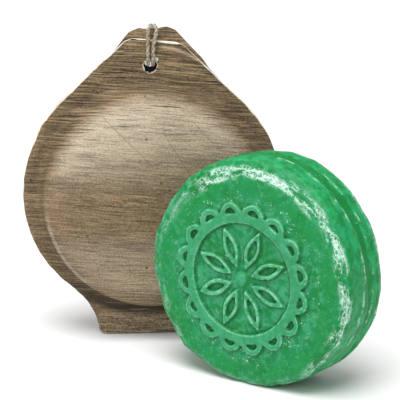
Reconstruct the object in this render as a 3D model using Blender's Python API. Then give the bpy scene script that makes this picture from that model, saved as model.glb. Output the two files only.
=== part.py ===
"""Shaving soap puck with its own pressed palm-leaf case.

The case is two leaf shells, dome to dome, that hang together on a twine tied through their
top holes and over the back shell's top edge. The puck stands on its rim in front of them.
Frame: metres, origin at the centre of the back shell's foot, +X right, -Y front, +Z up.
"""
import math

import bmesh
import bpy
from mathutils import Matrix, Vector

MM = 0.001
TURN = 2.0 * math.pi

# The gap left between pieces that rest on each other or lie side by side.
SEAT_GAP = 0.3 * MM

# Soap puck
PUCK_RADIUS = 37.0 * MM
PUCK_THICKNESS = 23.0 * MM
PUCK_RIM_ROUND = 3.2 * MM
PUCK_GROOVE_DEPTH = 0.6 * MM
PUCK_GROOVE_WIDTH = 3.0 * MM
PUCK_GROOVES_FROM_BACK = (12.0 * MM, 6.5 * MM)
PUCK_FLAT_DEPTH = 0.25 * MM
PUCK_TURN = math.radians(39.0)
PUCK_X = 35.0 * MM
PUCK_TO_CASE = 3.0 * MM

# Relief on the puck's front face: a scalloped ring round eight leaves
RELIEF_HEIGHT = 1.2 * MM
RELIEF_SUNK = 0.6 * MM
RING_INNER_RADIUS = 18.6 * MM
RING_VALLEY_RADIUS = 22.2 * MM
RING_TIP_RADIUS = 25.4 * MM
RING_LOBES = 16
RING_STEPS_PER_LOBE = 6
LEAF_COUNT = 8
LEAF_START = 3.6 * MM
LEAF_END = 17.4 * MM
LEAF_HALF_WIDTH = 2.1 * MM
BOSS_RADIUS = 2.4 * MM

# Palm-leaf shells
SHELL_WALL = 1.5 * MM
PUCK_SIDE_CLEARANCE = 0.8 * MM
PUCK_FACE_CLEARANCE = 0.4 * MM
DOME_DRAFT = 0.8 * MM
DOME_SHOULDER = 5.5 * MM
DOME_CROWN = 0.8 * MM
DOME_FLARE = 2.0 * MM
DOME_FLARE_SINK = 0.1 * MM
DOME_ABOVE_FOOT = 9.2 * MM
SIDE_FLANGE_WIDTH = 4.4 * MM
SIDE_CENTRE_ABOVE_DOME = 0.7 * MM
TOP_HALF_WIDTH = 6.5 * MM
TOP_CORNER_CUT = 1.0 * MM
FOOT_HALF_WIDTH = 20.4 * MM
FOOT_CORNER_CUT = 1.2 * MM
NECK_RADIUS = 27.0 * MM
HOLE_CLEARANCE = 0.8 * MM
HOLE_ABOVE_DOME = 4.6 * MM
HOLE_BELOW_TOP = 14.0 * MM

# The front shell is cut a little smaller, so that it swings under the twine and over the table.
FRONT_TOP_DROP = 4.0 * MM
FRONT_TOP_WIDENING = 2.4 * MM
FRONT_FOOT_LIFT = 0.4 * MM
FRONT_FOOT_CORNER_CUT = 2.2 * MM

# Twine
TWINE_RADIUS = 0.7 * MM
STRAND_GAP = 0.24 * MM
TWINE_SAMPLES_PER_SPAN = 3
KNOT_HALF_SIZE = Vector((1.9, 1.5, 2.0)) * MM
KNOT_X = 0.6 * MM
KNOT_ABOVE_HOLE = 6.6 * MM

# Facets
PUCK_SEGMENTS = 64
DOME_SEGMENTS = 56
HOLE_SEGMENTS = 20
BOSS_SEGMENTS = 16
LEAF_STEPS = 6

# Derived places
HALF_WALL = SHELL_WALL / 2.0
PARTING_Y = -(HALF_WALL + SEAT_GAP / 2.0)
FRONT_INNER_Y = PARTING_Y - SEAT_GAP / 2.0
FRONT_OUTER_Y = FRONT_INNER_Y - SHELL_WALL
DOME_INNER_RADIUS = PUCK_RADIUS + PUCK_SIDE_CLEARANCE
DOME_RIM_RADIUS = DOME_INNER_RADIUS + SHELL_WALL + DOME_DRAFT + DOME_FLARE
DOME_CENTRE_Z = DOME_ABOVE_FOOT + DOME_RIM_RADIUS
CASE_SIDE_RADIUS = DOME_RIM_RADIUS + SIDE_FLANGE_WIDTH
CASE_SIDE_CENTRE_Z = DOME_CENTRE_Z + SIDE_CENTRE_ABOVE_DOME
HOLE_RADIUS = 2.0 * TWINE_RADIUS + HOLE_CLEARANCE
HOLE_Z = DOME_CENTRE_Z + DOME_RIM_RADIUS + HOLE_ABOVE_DOME
CASE_HEIGHT = HOLE_Z + HOLE_BELOW_TOP
KNOT_Z = HOLE_Z + KNOT_ABOVE_HOLE
DOME_INNER_DEPTH = (PUCK_THICKNESS + RELIEF_HEIGHT - SEAT_GAP) / 2.0 + PUCK_FACE_CLEARANCE
CROWN_Y = FRONT_OUTER_Y - DOME_INNER_DEPTH - DOME_CROWN
PUCK_BACK_REACH = PUCK_RADIUS * math.sin(PUCK_TURN) + PUCK_THICKNESS / 2.0 * math.cos(PUCK_TURN)
PUCK_Y = CROWN_Y - PUCK_TO_CASE - PUCK_BACK_REACH
PUCK_CENTRE_Z = PUCK_RADIUS - PUCK_FLAT_DEPTH


def clear_scene():
    """Remove every object of the open scene."""
    for item in list(bpy.data.objects):
        bpy.data.objects.remove(item, do_unlink=True)


def make_material(name, colour, roughness):
    """A plain non-metal finish."""
    material = bpy.data.materials.new(name)
    material.use_nodes = True
    shader = material.node_tree.nodes["Principled BSDF"]
    shader.inputs["Base Color"].default_value = (*colour, 1.0)
    shader.inputs["Roughness"].default_value = roughness
    shader.inputs["Metallic"].default_value = 0.0
    return material


def add_object(name, shape, material=None):
    """Turn a bmesh into a linked object."""
    mesh = bpy.data.meshes.new(name)
    shape.to_mesh(mesh)
    shape.free()
    item = bpy.data.objects.new(name, mesh)
    bpy.context.scene.collection.objects.link(item)
    if material is not None:
        mesh.materials.append(material)
    return item


def hide_cutter(item):
    """Mark an object as a cutter or guide that isn't part of the model."""
    item.hide_render = True
    item.display_type = 'WIRE'


def cut_or_join(item, other, operation):
    """Add a Boolean that cuts or joins another object."""
    hide_cutter(other)
    modifier = item.modifiers.new(operation.title(), 'BOOLEAN')
    modifier.operation = operation
    modifier.solver = 'EXACT'
    modifier.object = other


def arc(centre, radius, start, end, steps):
    """Points on an arc, both ends included, with angles in radians."""
    points = []
    for index in range(steps + 1):
        angle = start + (end - start) * index / steps
        points.append((centre[0] + radius * math.cos(angle), centre[1] + radius * math.sin(angle)))
    return points


def turned(profile, segments):
    """Spin (radius, y) points about the Y axis into one closed shape, with flat ends."""
    shape = bmesh.new()
    verts = [shape.verts.new((radius, depth, 0.0)) for radius, depth in profile]
    edges = [shape.edges.new(pair) for pair in zip(verts, verts[1:])]
    bmesh.ops.spin(shape, geom=verts + edges, cent=(0, 0, 0), axis=(0, 1, 0), angle=TURN, steps=segments)
    bmesh.ops.remove_doubles(shape, verts=shape.verts, dist=0.00001)
    bmesh.ops.holes_fill(shape, edges=shape.edges, sides=0)
    bmesh.ops.recalc_face_normals(shape, faces=shape.faces)
    return shape


def prism(shape, outline, near_y, far_y, hole=()):
    """Extrude an (x, z) outline, with an optional inner outline, from near_y to far_y."""
    loops = []
    for points in (outline, hole):
        verts = [shape.verts.new((x, near_y, z)) for x, z in points]
        loops.append([shape.edges.new(pair) for pair in zip(verts, verts[1:] + verts[:1])])
    filled = bmesh.ops.triangle_fill(shape, use_beauty=True, edges=loops[0] + loops[1])
    faces = [element for element in filled["geom"] if isinstance(element, bmesh.types.BMFace)]
    grown = bmesh.ops.extrude_face_region(shape, geom=faces, use_keep_orig=True)
    verts = [element for element in grown["geom"] if isinstance(element, bmesh.types.BMVert)]
    bmesh.ops.translate(shape, verts=verts, vec=(0.0, far_y - near_y, 0.0))
    bmesh.ops.recalc_face_normals(shape, faces=shape.faces)


# Soap puck

def puck_profile():
    """Radius and depth of the puck's side, with round rims and two worn grooves."""
    half = PUCK_THICKNESS / 2.0
    inner = PUCK_RADIUS - PUCK_RIM_ROUND
    points = arc((inner, -half + PUCK_RIM_ROUND), PUCK_RIM_ROUND, -TURN / 4.0, 0.0, 3)
    for from_back in PUCK_GROOVES_FROM_BACK:
        place = half - from_back
        points.append((PUCK_RADIUS, place - PUCK_GROOVE_WIDTH / 2.0))
        points.append((PUCK_RADIUS - PUCK_GROOVE_DEPTH, place))
        points.append((PUCK_RADIUS, place + PUCK_GROOVE_WIDTH / 2.0))
    points += arc((inner, half - PUCK_RIM_ROUND), PUCK_RIM_ROUND, 0.0, TURN / 4.0, 3)
    return points


def leaf_outline(angle):
    """A pointed leaf that runs outwards from the middle of the face."""
    along = Vector((math.cos(angle), math.sin(angle)))
    across = Vector((-along.y, along.x))
    points = []
    for side in (1.0, -1.0):
        for index in range(LEAF_STEPS):
            share = index / LEAF_STEPS if side > 0.0 else 1.0 - index / LEAF_STEPS
            reach = LEAF_START + (LEAF_END - LEAF_START) * share
            width = side * LEAF_HALF_WIDTH * math.sin(math.pi * share)
            points.append(tuple(along * reach + across * width))
    return points


def ring_outlines():
    """The scalloped outer edge of the relief's ring and its round inner edge."""
    count = RING_LOBES * RING_STEPS_PER_LOBE
    outer = []
    for index in range(count):
        angle = TURN * index / count
        bulge = abs(math.sin(RING_LOBES * angle / 2.0))
        radius = RING_VALLEY_RADIUS + (RING_TIP_RADIUS - RING_VALLEY_RADIUS) * bulge
        outer.append((radius * math.cos(angle), radius * math.sin(angle)))
    inner = arc((0.0, 0.0), RING_INNER_RADIUS, 0.0, TURN, count // 2)[:-1]
    return outer, inner


def make_relief():
    """The raised emblem, sunk a little into the face that it joins."""
    top = -PUCK_THICKNESS / 2.0 - RELIEF_HEIGHT
    bottom = -PUCK_THICKNESS / 2.0 + RELIEF_SUNK
    shape = bmesh.new()
    outer, inner = ring_outlines()
    prism(shape, outer, top, bottom, hole=inner)
    for index in range(LEAF_COUNT):
        prism(shape, leaf_outline(TURN * (index + 0.5) / LEAF_COUNT), top, bottom)
    prism(shape, arc((0.0, 0.0), BOSS_RADIUS, 0.0, TURN, BOSS_SEGMENTS)[:-1], top, bottom)
    return add_object("relief_guide", shape)


def make_puck(material):
    """The soap puck, standing on a small flat of its rim and turned to the left."""
    puck = add_object("soap_puck", turned(puck_profile(), PUCK_SEGMENTS), material)
    relief = make_relief()
    cut_or_join(puck, relief, 'UNION')
    flat = bmesh.new()
    bmesh.ops.create_cube(flat, size=1.0)
    depth = PUCK_FLAT_DEPTH * 4.0
    size = Vector((PUCK_RADIUS, PUCK_THICKNESS * 2.0, depth))
    place = Matrix.Translation((0.0, 0.0, PUCK_FLAT_DEPTH - PUCK_RADIUS - depth / 2.0))
    flat.transform(place @ Matrix.Diagonal((*size, 1.0)))
    cutter = add_object("puck_flat_cutter", flat)
    cut_or_join(puck, cutter, 'DIFFERENCE')
    for item in (puck, relief, cutter):
        item.location = (PUCK_X, PUCK_Y, PUCK_CENTRE_Z)
        item.rotation_euler = (0.0, 0.0, -PUCK_TURN)
    puck.data.shade_smooth()
    puck.data.set_sharp_from_angle(angle=math.radians(30.0))
    return puck


# Palm-leaf shells

def flank_touch_angle(corner):
    """Angle on the side circle where the straight flank from a top corner touches it."""
    rise = corner[1] - CASE_SIDE_CENTRE_Z
    distance = math.hypot(corner[0], rise)
    return math.atan2(rise, corner[0]) - math.acos(CASE_SIDE_RADIUS / distance)


def half_outline(foot_z, foot_cut, top_z, top_half, top_cut):
    """Right half of a shell's outline, from the foot to the top."""
    centre = (0.0, CASE_SIDE_CENTRE_Z)
    neck_x = FOOT_HALF_WIDTH + NECK_RADIUS
    reach = CASE_SIDE_RADIUS + NECK_RADIUS
    neck_z = CASE_SIDE_CENTRE_Z - math.sqrt(reach ** 2 - neck_x ** 2)
    touch = math.atan2(neck_z - CASE_SIDE_CENTRE_Z, neck_x)
    neck_start = math.pi - math.asin((foot_z + foot_cut - neck_z) / NECK_RADIUS)
    points = [(FOOT_HALF_WIDTH - foot_cut, foot_z)]
    points += arc((neck_x, neck_z), NECK_RADIUS, neck_start, math.pi + touch, 6)
    points += arc(centre, CASE_SIDE_RADIUS, touch, flank_touch_angle((top_half, top_z)), 18)[1:]
    last = Vector(points[-1])
    corner = Vector((top_half, top_z))
    points.append(tuple(corner + (last - corner).normalized() * top_cut))
    points.append((top_half - top_cut, top_z))
    return points


def full_outline(half):
    """Mirror the right half of an outline into a closed loop."""
    return half + [(-x, z) for x, z in reversed(half)]


def dome_profile(offset, end_depth):
    """Radius and depth of the dome from its crown to its flare; depth grows to the outside."""
    depth = DOME_INNER_DEPTH + offset
    radius = DOME_INNER_RADIUS + offset
    shoulder = DOME_SHOULDER + offset
    flare = DOME_FLARE + SHELL_WALL - offset
    rim = radius - shoulder
    points = [(0.0, depth + DOME_CROWN)]
    points.append((rim * 0.5, depth + DOME_CROWN * 0.7))
    points += arc((rim, depth - shoulder), shoulder, TURN / 4.0, 0.0, 5)
    foot = (radius + DOME_DRAFT + flare, offset + flare - DOME_FLARE_SINK)
    points += arc(foot, flare, math.pi, math.pi * 1.5, 4)
    points.append((points[-1][0], end_depth))
    return points


def add_dome(shell, front, offset, operation, end_depth):
    """Join the dome's outer form to a shell, or cut its hollow."""
    base = FRONT_INNER_Y if front else -HALF_WALL
    sign = -1.0 if front else 1.0
    profile = [(radius, base + sign * depth) for radius, depth in dome_profile(offset, end_depth)]
    form = add_object(shell.name + "_" + operation.lower(), turned(profile, DOME_SEGMENTS))
    form.location = (0.0, 0.0, DOME_CENTRE_Z)
    cut_or_join(shell, form, operation)


def make_shell(name, front, material):
    """One leaf shell: a flat flange with a dome pressed out of it and a hole for the twine."""
    if front:
        half = half_outline(FRONT_FOOT_LIFT, FRONT_FOOT_CORNER_CUT, CASE_HEIGHT - FRONT_TOP_DROP,
                            TOP_HALF_WIDTH + FRONT_TOP_WIDENING, TOP_CORNER_CUT)
        near, far = FRONT_INNER_Y, FRONT_OUTER_Y
    else:
        half = half_outline(0.0, FOOT_CORNER_CUT, CASE_HEIGHT, TOP_HALF_WIDTH, TOP_CORNER_CUT)
        near, far = -HALF_WALL, HALF_WALL
    shape = bmesh.new()
    prism(shape, full_outline(half), near, far)
    shell = add_object(name, shape, material)
    add_dome(shell, front, SHELL_WALL, 'UNION', HALF_WALL)
    add_dome(shell, front, 0.0, 'DIFFERENCE', -HALF_WALL)
    drill = bmesh.new()
    bmesh.ops.create_cone(drill, cap_ends=True, segments=HOLE_SEGMENTS, radius1=HOLE_RADIUS,
                          radius2=HOLE_RADIUS, depth=SHELL_WALL * 4.0,
                          matrix=Matrix.Rotation(TURN / 4.0, 4, 'X'))
    cutter = add_object(name + "_drill", drill)
    cutter.location = (0.0, (near + far) / 2.0, HOLE_Z)
    cut_or_join(shell, cutter, 'DIFFERENCE')
    shell.data.shade_smooth()
    shell.data.set_sharp_from_angle(angle=math.radians(35.0))
    return shell


def hang_on_pivot(shell):
    """Give the front shell its origin on the swing axis, which runs through the twine's hole."""
    pivot = Vector((0.0, PARTING_Y, HOLE_Z))
    shell.data.transform(Matrix.Translation(-pivot))
    shell.location = pivot


# Twine

def twine_route():
    """Hand-laid route: knot, over the top, down the front, through the holes, twice round.

    Each point is x, y and z in millimetres. A height is given from the hole, from the crest of
    the bend over the top edge, or by the share of the way from the hole to the top edge.
    """
    b = (HALF_WALL + SEAT_GAP + TWINE_RADIUS) / MM
    f = (FRONT_OUTER_Y - SEAT_GAP - TWINE_RADIUS) / MM
    middle = (b + f) / 2.0
    side = (TWINE_RADIUS + STRAND_GAP / 2.0) / MM
    hole = HOLE_Z / MM
    crest = (CASE_HEIGHT + SEAT_GAP + TWINE_RADIUS) / MM
    knot_top = (KNOT_Z + KNOT_HALF_SIZE.z) / MM

    def level(share):
        return hole + share * HOLE_BELOW_TOP / MM

    points = [
        (0.2, b + 2.4, knot_top + 0.6), (-0.2, b + 1.4, level(0.8)), (-0.5, b + 0.3, level(0.89)),
        (-0.6, b, level(0.99)), (-0.65, b - 0.8, crest - 0.2), (-0.65, b - 2.0, crest + 0.1),
        (-0.65, f + 1.6, crest + 0.2), (-0.65, f + 0.4, crest - 0.1), (-0.7, f - 0.1, level(0.98)),
        (-0.8, f, level(0.84)), (-0.95, f, level(0.64)), (-1.0, f, level(0.43)),
        (-0.95, f - 0.1, level(0.26)), (-0.85, f - 0.2, hole + 2.3), (-side, f + 0.2, hole + 1.3),
        (-side, f + 1.1, hole + 0.75), (-side, middle, hole + 0.45),
        (-side, b - 1.1, hole + 0.75), (-side, b - 0.2, hole + 1.3), (-0.8, b + 0.1, hole + 2.3),
        (-0.75, b, level(0.27)), (-0.4, b, level(0.4)), (0.4, b, level(0.57)), (1.2, b, level(0.74)),
        (1.8, b, level(0.89)), (2.0, b, level(0.99)), (2.05, b - 0.8, crest - 0.2),
        (2.05, b - 2.0, crest + 0.1), (2.05, f + 1.6, crest + 0.2), (2.05, f + 0.4, crest - 0.1),
        (2.0, f - 0.1, level(0.98)), (1.85, f, level(0.84)), (1.4, f, level(0.64)),
        (1.15, f, level(0.43)), (0.95, f - 0.1, level(0.26)), (0.85, f - 0.2, hole + 2.3),
        (side, f + 0.2, hole + 1.3), (side, f + 1.1, hole + 0.75), (side, middle, hole + 0.45),
        (side, b - 1.1, hole + 0.75), (side, b - 0.2, hole + 1.3), (0.9, b + 0.6, hole + 2.2),
        (0.85, b + 1.5, hole + 3.2), (0.75, b + 2.2, hole + 4.1),
    ]
    return [Vector(point) * MM for point in points]


def tail_route(side):
    """Hand-laid route of one short cut end of the twine, which hangs behind the back shell."""
    back = (HALF_WALL + SEAT_GAP + TWINE_RADIUS) / MM
    knot_end = (KNOT_X + side * KNOT_HALF_SIZE.x) / MM
    knot_z = KNOT_Z / MM
    points = [
        (knot_end + side * 0.45, back + 2.5, knot_z - 0.3),
        (knot_end + side * 1.3, back + 2.1, knot_z - 1.4),
        (knot_end + side * 1.8, back + 1.6, knot_z - 3.2),
        (knot_end + side * 2.1, back + 1.1, knot_z - 5.4),
        (knot_end + side * 2.0, back + 0.6, knot_z - 7.4),
    ]
    return [Vector(point) * MM for point in points]


def smooth_points(points):
    """Read evenly spaced parameters from a Catmull-Rom curve through the points."""
    padded = [2 * points[0] - points[1]] + points + [2 * points[-1] - points[-2]]
    result = []
    for index in range(1, len(padded) - 2):
        before, start, end, after = padded[index - 1:index + 3]
        for step in range(TWINE_SAMPLES_PER_SPAN):
            t = step / TWINE_SAMPLES_PER_SPAN
            linear = (end - before) * t
            square = (2 * before - 5 * start + 4 * end - after) * t ** 2
            cube = (3 * start - before - 3 * end + after) * t ** 3
            result.append(start + (linear + square + cube) / 2.0)
    result.append(points[-1])
    return result


def make_twine(name, points, material):
    """A round length of twine along a smooth route."""
    curve = bpy.data.curves.new(name, 'CURVE')
    curve.dimensions = '3D'
    curve.bevel_depth = TWINE_RADIUS
    curve.bevel_resolution = 2
    curve.use_fill_caps = True
    spline = curve.splines.new('POLY')
    spline.points.add(len(points) - 1)
    for place, point in zip(spline.points, points):
        place.co = (*point, 1.0)
    curve.materials.append(material)
    item = bpy.data.objects.new(name, curve)
    bpy.context.scene.collection.objects.link(item)
    return item


def make_knot(material):
    """The lump of the knot behind the back shell."""
    shape = bmesh.new()
    bmesh.ops.create_icosphere(shape, subdivisions=2, radius=1.0)
    shape.transform(Matrix.Diagonal((*KNOT_HALF_SIZE, 1.0)))
    knot = add_object("twine_knot", shape, material)
    lift = 2.0 * TWINE_RADIUS + 1.5 * SEAT_GAP + KNOT_HALF_SIZE.y
    knot.location = (KNOT_X, HALF_WALL + SEAT_GAP + lift, KNOT_Z)
    knot.data.shade_smooth()
    return knot


def main():
    clear_scene()
    soap = make_material("soap", (0.03, 0.34, 0.12), 0.45)
    leaf = make_material("palm_leaf", (0.24, 0.18, 0.12), 0.7)
    twine = make_material("twine", (0.55, 0.50, 0.42), 0.9)
    make_puck(soap)
    make_shell("back_shell", False, leaf)
    hang_on_pivot(make_shell("front_shell", True, leaf))
    make_twine("twine_loop", smooth_points(twine_route()), twine)
    make_twine("twine_tail_left", smooth_points(tail_route(-1.0)), twine)
    make_twine("twine_tail_right", smooth_points(tail_route(1.0)), twine)
    make_knot(twine)


main()
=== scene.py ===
"""Looks for a shaving soap puck and its pressed palm-leaf case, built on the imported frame.

Metres, +Z up, -Y to the front, origin at the centre of the back shell's foot.
"""

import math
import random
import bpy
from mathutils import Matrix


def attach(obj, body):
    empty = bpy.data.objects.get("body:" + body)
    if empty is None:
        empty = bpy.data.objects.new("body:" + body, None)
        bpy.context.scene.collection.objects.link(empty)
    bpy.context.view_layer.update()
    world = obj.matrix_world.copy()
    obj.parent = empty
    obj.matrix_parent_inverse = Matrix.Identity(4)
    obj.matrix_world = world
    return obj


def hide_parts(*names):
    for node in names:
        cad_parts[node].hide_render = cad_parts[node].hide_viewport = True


bl_info = {
    "name": "Shaving soap and palm-leaf case",
    "version": (1, 0, 0),
    "blender": (4, 5, 0),
    "location": "3D View > Sidebar > Soap Case",
    "description": "Adds a stamped soap puck, two pressed leaf shells, their twine and a stage",
    "category": "Add Mesh",
}

from functools import partial

import bpy
from bpy.props import FloatProperty, FloatVectorProperty, IntProperty, PointerProperty
from mathutils import Vector, noise

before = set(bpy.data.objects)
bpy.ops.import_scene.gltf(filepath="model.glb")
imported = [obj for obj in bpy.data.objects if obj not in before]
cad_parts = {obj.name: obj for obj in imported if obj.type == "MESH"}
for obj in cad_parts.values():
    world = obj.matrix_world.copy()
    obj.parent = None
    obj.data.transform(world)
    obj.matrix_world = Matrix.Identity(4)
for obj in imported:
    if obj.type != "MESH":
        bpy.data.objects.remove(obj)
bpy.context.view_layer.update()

MM = 0.001
TURN = 2 * math.pi


def linear(code):
    """A screen colour such as 8a6f4d as linear red, green and blue."""
    channels = [int(code[place:place + 2], 16) / 255 for place in (0, 2, 4)]
    return tuple(c / 12.92 if c <= 0.04045 else ((c + 0.055) / 1.055) ** 2.4 for c in channels)


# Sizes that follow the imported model, in millimetres

PUCK_CENTRE = Vector((35, -50.92, 36.75))
PUCK_TURN = math.radians(39)

DOME_CENTRE_Z = 51.3
DOME_INNER_RADIUS = 37.8
DOME_INNER_DEPTH = 12.35
DOME_SHOULDER = (9.5, 8.2)
DOME_CROWN = 0.8
DOME_DRAFT = 0.5
DOME_FLARE = 3
FLANGE_START = 42.6
SIDE_RADIUS = 46.5
SIDE_CENTRE_Z = 52
LOWER_SQUASH = 0.944
NECK_RADIUS = 27
FOOT_HALF_WIDTH = 19.8
EDGE_BAND = 0.75
EDGE_RINGS = 12
CASE_HEIGHT = 112
HOLE_X = -0.75
HOLE_Z = 98.35
HOLE_RADIUS = 2.2
BACK_OUTER_Y = 0.75
FRONT_OUTER_Y = -2.55

TWINE_RADIUS = 0.7
STRAND_GAP = 0.24
KNOT_CENTRE = Vector((0.1, 4.4, 104.6))
PLY_OFFSET = 0.37
PLY_RADIUS = 0.67
HAIR_STEPS = (0, 0.33, 0.66, 1)


# Bench tools

def deselect_all():
    """Leave object mode clean, with nothing selected."""
    if bpy.context.mode != 'OBJECT':
        bpy.ops.object.mode_set(mode='OBJECT')
    bpy.ops.object.select_all(action='DESELECT')


def take(item):
    """Select one object alone and make it active."""
    deselect_all()
    item.select_set(True)
    bpy.context.view_layer.objects.active = item
    return item


def edit(item, part='VERT'):
    """Open one object in edit mode with nothing selected in it."""
    take(item)
    bpy.ops.object.mode_set(mode='EDIT')
    bpy.ops.mesh.select_mode(type=part)
    bpy.ops.mesh.select_all(action='DESELECT')


def done():
    """Close edit mode."""
    bpy.ops.object.mode_set(mode='OBJECT')


def face_outwards():
    """Turn all faces of the open mesh outwards."""
    bpy.ops.mesh.select_all(action='SELECT')
    bpy.ops.mesh.normals_make_consistent(inside=False)


def settle(item):
    """Put an object's place and turn into its mesh."""
    take(item)
    bpy.ops.object.transform_apply(location=True, rotation=True, scale=True)
    return item


def join(items, name):
    """Join objects into one under a new name."""
    deselect_all()
    for item in items:
        item.select_set(True)
    bpy.context.view_layer.objects.active = items[0]
    bpy.ops.object.join()
    joined = bpy.context.object
    joined.name = name
    joined.data.name = name
    return joined


def apply_modifier(item, kind, **settings):
    """Add one modifier, set it and apply it."""
    take(item)
    modifier = item.modifiers.new(kind.title(), kind)
    for key, value in settings.items():
        setattr(modifier, key, value)
    bpy.ops.object.modifier_apply(modifier=modifier.name)


def add_clouds(item, name, grain, height, direction='NORMAL', group="", depth=2):
    """Push the surface in and out by a soft cloud pattern; grain and height in millimetres."""
    clouds = bpy.data.textures.new(name, type='CLOUDS')
    clouds.noise_scale = grain * MM
    clouds.noise_depth = depth
    clouds.noise_basis = 'ORIGINAL_PERLIN'
    apply_modifier(item, 'DISPLACE', texture=clouds, strength=height * MM, mid_level=0.5,
        direction=direction, texture_coords='LOCAL', vertex_group=group)


def weigh(item, name, rule):
    """Make a vertex group whose weights come from a rule of place in millimetres."""
    group = item.vertex_groups.new(name=name)
    for vert in item.data.vertices:
        weight = min(1, max(0, rule(vert.co / MM)))
        if weight > 0:
            group.add([vert.index], weight, 'REPLACE')
    return name


def ease(low, high, value):
    """A smooth step from 0 at low to 1 at high."""
    share = min(1, max(0, (value - low) / (high - low)))
    return share * share * (3 - 2 * share)


def turn_profile(name, profile, steps):
    """Turn (radius, height) points, in millimetres, about the Z axis into a surface."""
    deselect_all()
    bpy.ops.mesh.primitive_plane_add(size=MM, location=(profile[0][0] * MM, 0, profile[0][1] * MM))
    item = bpy.context.object
    item.name = name
    settle(item)
    edit(item)
    bpy.ops.mesh.select_all(action='SELECT')
    bpy.ops.mesh.merge(type='CENTER')
    for before, after in zip(profile, profile[1:]):
        step = ((after[0] - before[0]) * MM, 0, (after[1] - before[1]) * MM)
        bpy.ops.mesh.extrude_region_move(TRANSFORM_OT_translate={"value": step})
    bpy.ops.mesh.select_all(action='SELECT')
    bpy.ops.mesh.spin(steps=steps, angle=TURN, center=(0, 0, 0), axis=(0, 0, 1))
    bpy.ops.mesh.select_all(action='SELECT')
    bpy.ops.mesh.remove_doubles(threshold=0.01 * MM)
    face_outwards()
    done()
    return item


# Marks on the leaf: middle x, middle z from the dome's centre, tilt in degrees, length and depth
SCRATCHES = (
    (-9, 22, -46, 26, 0.6), (9, 16, -58, 22, 0.55), (-20, 14, -52, 15, 0.45),
    (17, 25, -48, 12, 0.55), (-4, -2, -70, 7, 0.5), (6, -12, 62, 5, 0.55),
    (-21, -33, 60, 5, 0.7), (-7, -46, -36, 7, 0.7), (3, -43, 20, 6, 0.5),
    (-24, -29, 78, 4, 0.6), (-16, -6, 88, 3, 0.6), (10, 45, -82, 8, 0.6),
    (13, 42, -88, 6, 0.5),
)


# Node finishes

class Value:
    """One value of a finish, which adds and multiplies as a number does."""

    def __init__(self, finish, socket):
        self.finish, self.socket = finish, socket

    def __add__(self, other):
        return self.finish.math('ADD', self, other)

    def __sub__(self, other):
        return self.finish.math('SUBTRACT', self, other)

    def __mul__(self, other):
        return self.finish.math('MULTIPLY', self, other)

    def __truediv__(self, other):
        return self.finish.math('DIVIDE', self, other)


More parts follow.
